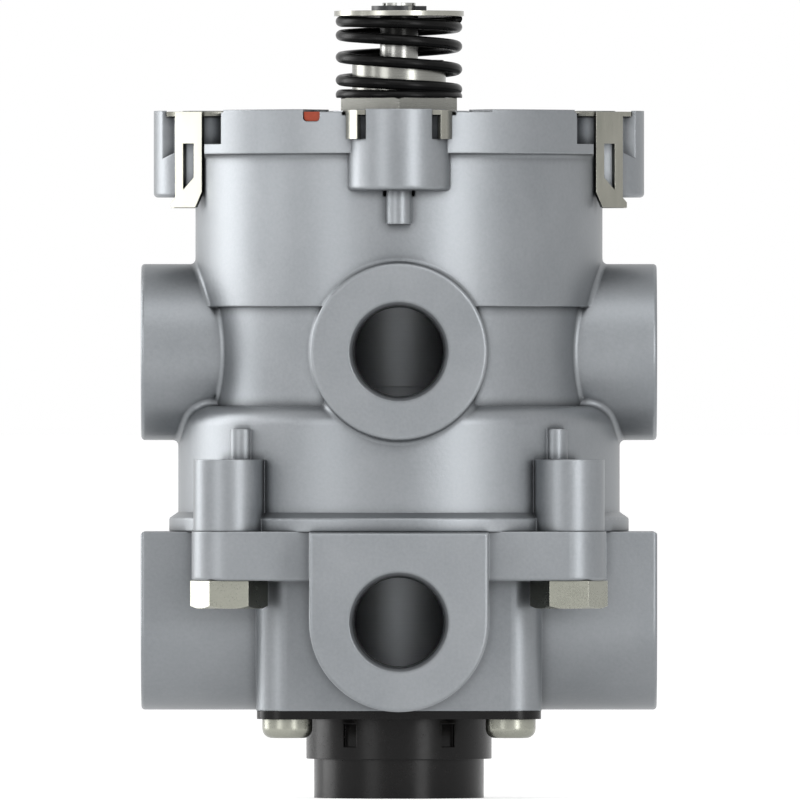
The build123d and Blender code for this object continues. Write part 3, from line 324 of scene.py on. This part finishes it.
def moulded(name, dark, light, rough_low, rough_high, grain=1500.0, grain_depth=0.006 * MM, **constants):
    """Plastic, rubber or paint with a fine skin and soft cloudy patches."""
    material, tree, shader, place = start_material(name)
    fine = noise(tree, place, grain, detail=3.0)
    mixed = weighted(tree, noise(tree, place, scale=150.0), fine, 0.55)
    colour = tone(tree, spread(tree, mixed, 0.0, 1.0), dark, light)
    edges, rounded = edge_mask(tree, FINE_EDGE_R, gain=3.0)
    colour = cover(tree, multiply(tree, edges, 0.35), colour, lighter(light, 1.8, lift=0.01))
    roughness = spread(tree, mixed, rough_low, rough_high)
    finish_material(tree, shader, colour, roughness, fine, grain_depth, rounded, **constants)
    return material


def cast_metal(name, corner_shade):
    """Bare cast aluminium with painted shade that darkens its corners by so much, and painted shade in its
    port mouths.
    """
    return metal(
        name,
        dark=(0.192, 0.205, 0.217),
        light=(0.236, 0.248, 0.26),
        rough_low=0.38,
        rough_high=0.46,
        metallic=0.8,
        grain=1500.0,
        grain_depth=0.018 * MM,
        patch=70.0,
        edge_radius=0.45 * MM,
        edge_tone=(0.3, 0.315, 0.33),
        corner_shade=corner_shade,
        ports=True,
    )


# The two cast materials differ only in how deep the painted shade in their corners goes.
upper_cast = cast_metal("upper_cast_aluminium", corner_shade=0.8)
lower_cast = cast_metal("lower_cast_aluminium", corner_shade=0.4)
zinc = metal(
    "zinc_plate",
    dark=(0.24, 0.245, 0.21),
    light=(0.3, 0.3, 0.26),
    rough_low=0.22,
    rough_high=0.36,
    grain=2600.0,
    grain_depth=0.001 * MM,
    edge_radius=FINE_EDGE_R,
    edge_tone=(0.5, 0.49, 0.44),
    corner_shade=0.3,
)
clip_steel = metal(
    "clip_steel",
    dark=(0.23, 0.23, 0.2),
    light=(0.29, 0.285, 0.25),
    rough_low=0.18,
    rough_high=0.26,
    grain=900.0,
    edge_radius=0.12 * MM,
    edge_tone=(0.5, 0.49, 0.45),
    streak=(1.0, 1.0, 0.12),
)
black_ring = metal(
    "black_ring_steel",
    dark=(0.012, 0.012, 0.013),
    light=(0.03, 0.03, 0.032),
    rough_low=0.3,
    rough_high=0.45,
    metallic=0.3,
    edge_radius=0.12 * MM,
    edge_tone=(0.12, 0.12, 0.12),
)
inner_steel = metal(
    "inner_spring_steel",
    dark=(0.3, 0.3, 0.29),
    light=(0.42, 0.42, 0.41),
    rough_low=0.25,
    rough_high=0.4,
    edge_radius=0.1 * MM,
)
bright_steel = turned_metal(
    "polished_steel",
    dark=(0.19, 0.19, 0.175),
    light=(0.25, 0.25, 0.23),
    rough_low=0.2,
    rough_high=0.3,
    pitch=0.12 * MM,
    depth=0.0015 * MM,
    along="height",
)
# The stem's near-black band is painted shade and dark reflection of the spring's coils.
stem_steel = turned_metal(
    "stem_steel",
    dark=(0.26, 0.26, 0.25),
    light=(0.34, 0.34, 0.32),
    rough_low=0.24,
    rough_high=0.34,
    pitch=0.1 * MM,
    depth=0.0015 * MM,
    along="height",
    shade_band=STEM_SHADE,
)
washer_steel = turned_metal(
    "washer_zinc",
    dark=(0.27, 0.27, 0.24),
    light=(0.36, 0.355, 0.32),
    rough_low=0.2,
    rough_high=0.32,
    pitch=0.15 * MM,
    depth=0.002 * MM,
)
bare_aluminium = turned_metal(
    "machined_aluminium",
    dark=(0.26, 0.272, 0.285),
    light=(0.34, 0.352, 0.365),
    rough_low=0.34,
    rough_high=0.46,
    pitch=0.2 * MM,
    depth=0.003 * MM,
)
piston_aluminium = turned_metal(
    "piston_aluminium",
    dark=(0.88, 0.9, 0.92),
    light=(0.95, 0.97, 0.99),
    rough_low=0.68,
    rough_high=0.78,
    pitch=0.2 * MM,
    depth=0.002 * MM,
    along="height",
)
spring_black = moulded(
    "black_spring_steel",
    dark=(0.002, 0.002, 0.002),
    light=(0.005, 0.005, 0.005),
    rough_low=0.24,
    rough_high=0.36,
    Specular_IOR_Level=0.1,
)
black_nylon = moulded(
    "black_nylon",
    dark=(0.002, 0.0018, 0.0018),
    light=(0.005, 0.0045, 0.0045),
    rough_low=0.2,
    rough_high=0.3,
    grain=900.0,
    Specular_IOR_Level=0.18,
)
rubber = moulded(
    "black_rubber",
    dark=(0.012, 0.012, 0.012),
    light=(0.028, 0.028, 0.028),
    rough_low=0.6,
    rough_high=0.8,
    grain=2200.0,
    grain_depth=0.012 * MM,
)
red_rubber = moulded(
    "red_rubber",
    dark=(0.24, 0.032, 0.012),
    light=(0.35, 0.055, 0.02),
    rough_low=0.45,
    rough_high=0.6,
    Specular_IOR_Level=0.3,
)
inner_plastic = moulded(
    "inner_plastic",
    dark=(0.05, 0.05, 0.055),
    light=(0.09, 0.09, 0.095),
    rough_low=0.4,
    rough_high=0.55,
)

finishes = {
    upper_cast: ["upper_housing"],
    lower_cast: ["lower_housing"],
    zinc: ["housing_bolts", "exhaust_screws"],
    clip_steel: ["front_clip", "left_clip", "right_clip"],
    washer_steel: ["spring_washer"],
    bright_steel: ["guide_bush"],
    stem_steel: ["plunger"],
    black_ring: ["retaining_ring", "cover_ring", "guide_ring"],
    bare_aluminium: ["top_cover"],
    piston_aluminium: ["primary_piston", "relay_piston"],
    black_nylon: ["exhaust_body"],
    inner_plastic: ["primary_valve_guide", "secondary_valve_guide"],
    red_rubber: ["vent_plug"],
    rubber: [
        "housing_seal", "cover_seal", "stem_seal",
        "primary_piston_seal", "relay_piston_seal", "relay_hub_seal",
        "primary_guide_seal", "secondary_guide_seal",
        "exhaust_flap", "primary_valve", "secondary_valve", "graduating_spring",
    ],
}
for material, names in finishes.items():
    for name in names:
        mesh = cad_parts[name].data
        mesh.materials.clear()
        mesh.materials.append(material)


# Pieces
def smooth_mesh(name, verts, faces, material):
    """Mesh from points and faces, shaded smooth."""
    mesh = bpy.data.meshes.new(name)
    mesh.from_pydata(verts, [], faces)
    mesh.validate()
    mesh.shade_smooth()
    mesh.materials.append(material)
    return mesh


def new_piece(name, mesh, body):
    """Object that rides on a body, with the finish that its mesh carries."""
    piece = bpy.data.objects.new(name, mesh)
    bpy.context.scene.collection.objects.link(piece)
    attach(piece, body)
    return piece


def wire_mesh(line, wire_r, sides=20):
    """Round wire along a line of points, with its ends closed."""
    verts, faces = [], []
    last = len(line) - 1
    for i, point in enumerate(line):
        ahead = (line[min(i + 1, last)] - line[max(i - 1, 0)]).normalized()
        outward = Vector((point.x, point.y, 0)).normalized()
        upward = ahead.cross(outward).normalized()
        outward = upward.cross(ahead).normalized()
        for k in range(sides):
            turn = 2 * math.pi * k / sides
            verts.append(point + wire_r * (math.cos(turn) * outward + math.sin(turn) * upward))
    for i in range(last):
        for k in range(sides):
            a, b = i * sides + k, i * sides + (k + 1) % sides
            faces.append((a, b, b + sides, a + sides))
    faces.append(tuple(reversed(range(sides))))
    faces.append(tuple(last * sides + k for k in range(sides)))
    return verts, faces


def smooth_level(levels, turn):
    """Height on a smooth curve through evenly spaced levels."""
    last = len(levels) - 1
    i = min(int(turn), last - 1)
    t = turn - i
    before, here, there, after = (levels[min(max(i + k, 0), last)] for k in (-1, 0, 1, 2))
    leave, arrive = (there - before) / 2, (after - here) / 2
    return (
        here * (2 * t**3 - 3 * t**2 + 1)
        + leave * (t**3 - 2 * t**2 + t)
        + there * (3 * t**2 - 2 * t**3)
        + arrive * (t**3 - t**2)
    )


def even_levels(low, high, half_turns):
    """Levels of an even coil, one for each half turn."""
    return [low + (high - low) * i / half_turns for i in range(half_turns + 1)]


def coil_line(mean_r, levels, hand, steps=28):
    """Points of a coil that reaches each level at a further half turn."""
    line = []
    for i in range((len(levels) - 1) * steps + 1):
        angle = hand * math.pi * i / steps
        level = smooth_level(levels, i / steps)
        line.append(Vector((mean_r * math.cos(angle), mean_r * math.sin(angle), level)))
    return line


def add_coil(name, mean_r, wire_r, levels, hand, material):
    """Round wire that stands for a CAD coil."""
    low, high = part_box(name)
    verts, faces = wire_mesh(coil_line(mean_r, levels, hand), wire_r)
    # The end turns are ground flat
    for vert in verts:
        vert.z = min(max(vert.z, low.z), high.z)
    coil = new_piece(f"{name}_coil", smooth_mesh(name, verts, faces, material), "root")
    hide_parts(name)
    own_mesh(coil)


add_coil(
    "return_spring", COIL_MEAN_R, COIL_WIRE_R, COIL_LEVELS, LEFT_HAND, spring_black
)
for name, (mean_r, wire_r, half_turns) in INNER_SPRINGS.items():
    low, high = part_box(name)
    levels = even_levels(low.z + wire_r, high.z - wire_r, half_turns)
    add_coil(name, mean_r, wire_r, levels, RIGHT_HAND, inner_steel)

# Rubber spring: it follows the piston that it stands on
rubber_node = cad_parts["graduating_spring"]
rubber_mesh = rubber_node.data.copy()
rubber_mesh.transform(rubber_node.matrix_world)
low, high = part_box("graduating_spring")
rubber_piece = new_piece("graduating_rubber", rubber_mesh, "primary_piston_body")
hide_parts("graduating_spring")
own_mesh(rubber_piece)


def thread_ridge(outward, height):
    """Points and faces of the helical crest inside a port's bore."""
    side = Vector((-outward.y, outward.x, 0))
    up = Vector((0, 0, 1))
    count = round(THREAD_LENGTH / THREAD_PITCH * THREAD_STEPS)
    profile = [
        (0.0, -THREAD_FOOT), (THREAD_HIGH, -THREAD_CREST), (THREAD_HIGH, THREAD_CREST), (0.0, THREAD_FOOT)
    ]
    verts, faces = [], []
    for i in range(count + 1):
        turn = 2 * math.pi * i / THREAD_STEPS
        fade = min(1.0, i / THREAD_STEPS, (count - i) / THREAD_STEPS)
        spoke = math.cos(turn) * side + math.sin(turn) * up
        along = PORT_REACH - PORT_BEVEL - THREAD_PITCH * (THREAD_START + i / THREAD_STEPS)
        for rise, shift in profile:
            centre = outward * (along + shift * THREAD_PITCH) + up * height
            verts.append(centre + spoke * (PORT_BORE_R - THREAD_SINK - rise * fade))
    width = len(profile)
    for i in range(count):
        for k in range(width - 1):
            a = i * width + k
            faces.append((a, a + width, a + width + 1, a + 1))
    return verts, faces


for level_name, height in PORT_LEVELS.items():
    for side_name, outward in PORT_SIDES.items():
        name = f"{level_name}_{side_name}_thread"
        mesh = smooth_mesh(name, *thread_ridge(outward, height), bare_aluminium)
        new_piece(name, mesh, "root")


# Stage: world, floor, lamps and camera
def seen_strength(tree, others, seen):
    """Strength as the camera, glass and reflections see it, and another one for all other light."""
    path = add_node(tree, "ShaderNodeLightPath").outputs
    factor = path["Is Camera Ray"]
    for kind in ("Is Glossy Ray", "Is Transmission Ray"):
        factor = maths(tree, "MAXIMUM", factor, path[kind])
    return add_node(tree, "ShaderNodeMapRange", Value=factor, To_Min=others, To_Max=seen).outputs["Result"]


world = bpy.data.worlds.new("studio")
bpy.context.scene.world = world
world.use_nodes = True
background = world.node_tree.nodes["Background"]
background.inputs["Color"].default_value = WHITE
strength = seen_strength(world.node_tree, WORLD_STRENGTH, 1.0)
world.node_tree.links.new(strength, background.inputs["Strength"])

floor_material, tree, shader, place = start_material("floor_white")
shader.inputs["Roughness"].default_value = 0.9
clouds = spread(tree, noise(tree, place, scale=3.0), 0.0, 1.0)
tree.links.new(tone(tree, clouds, (0.8, 0.8, 0.8), (0.82, 0.82, 0.82)), shader.inputs["Base Color"])
shader.inputs["Emission Color"].default_value = WHITE
tree.links.new(seen_strength(tree, 0.0, FLOOR_GLOW), shader.inputs["Emission Strength"])

floor_mesh = bpy.data.meshes.new("floor")
corners = [
    (x * FLOOR_HALF, y * FLOOR_HALF, cad_box[0].z) for x, y in ((-1, -1), (1, -1), (1, 1), (-1, 1))
]
floor_mesh.from_pydata(corners, [], [(0, 1, 2, 3)])
floor_mesh.materials.append(floor_material)
floor = bpy.data.objects.new("floor", floor_mesh)
bpy.context.scene.collection.objects.link(floor)


def add_lamp(name, angle, distance, height, size, power, target=VALVE_MIDDLE):
    """Area lamp aimed at its target; angle 0 is in front, and a positive angle is to the right."""
    data = bpy.data.lights.new(name, "AREA")
    data.shape = "RECTANGLE"
    data.size, data.size_y = size
    data.energy = power
    light = bpy.data.objects.new(name, data)
    turn = math.radians(angle)
    light.location = target + Vector((math.sin(turn) * distance, -math.cos(turn) * distance, height))
    light.rotation_euler = (target - light.location).to_track_quat("-Z", "Y").to_euler()
    light.visible_camera = False
    bpy.context.scene.collection.objects.link(light)


add_lamp("left_softbox", angle=-110, distance=0.8, height=0.1, size=(0.4, 0.9), power=6.6)
add_lamp("left_strip", angle=-36, distance=0.9, height=0.1, size=(0.3, 0.8), power=2.6)
add_lamp("right_strip", angle=31, distance=0.9, height=0.1, size=(0.24, 0.8), power=4.7)
add_lamp("top_softbox", angle=10, distance=0.5, height=0.75, size=(0.7, 0.5), power=2.0)
add_lamp("clip_card", angle=-60, distance=0.12, height=0.0, size=(0.02, 0.04), power=0.014, target=LEFT_LEG)

camera_data = bpy.data.cameras.new("camera")
camera_data.sensor_width = SENSOR
camera_data.lens = SENSOR * CAMERA_DISTANCE / VIEW_WIDTH
camera_data.clip_start = 0.1
camera_data.clip_end = 200.0
camera = bpy.data.objects.new("camera", camera_data)
camera.location = VIEW_CENTRE + Vector((0, -CAMERA_DISTANCE, 0))
camera.rotation_euler = (math.pi / 2, 0, 0)
bpy.context.scene.collection.objects.link(camera)
bpy.context.scene.camera = camera
bpy.context.scene.view_settings.view_transform = "Standard"
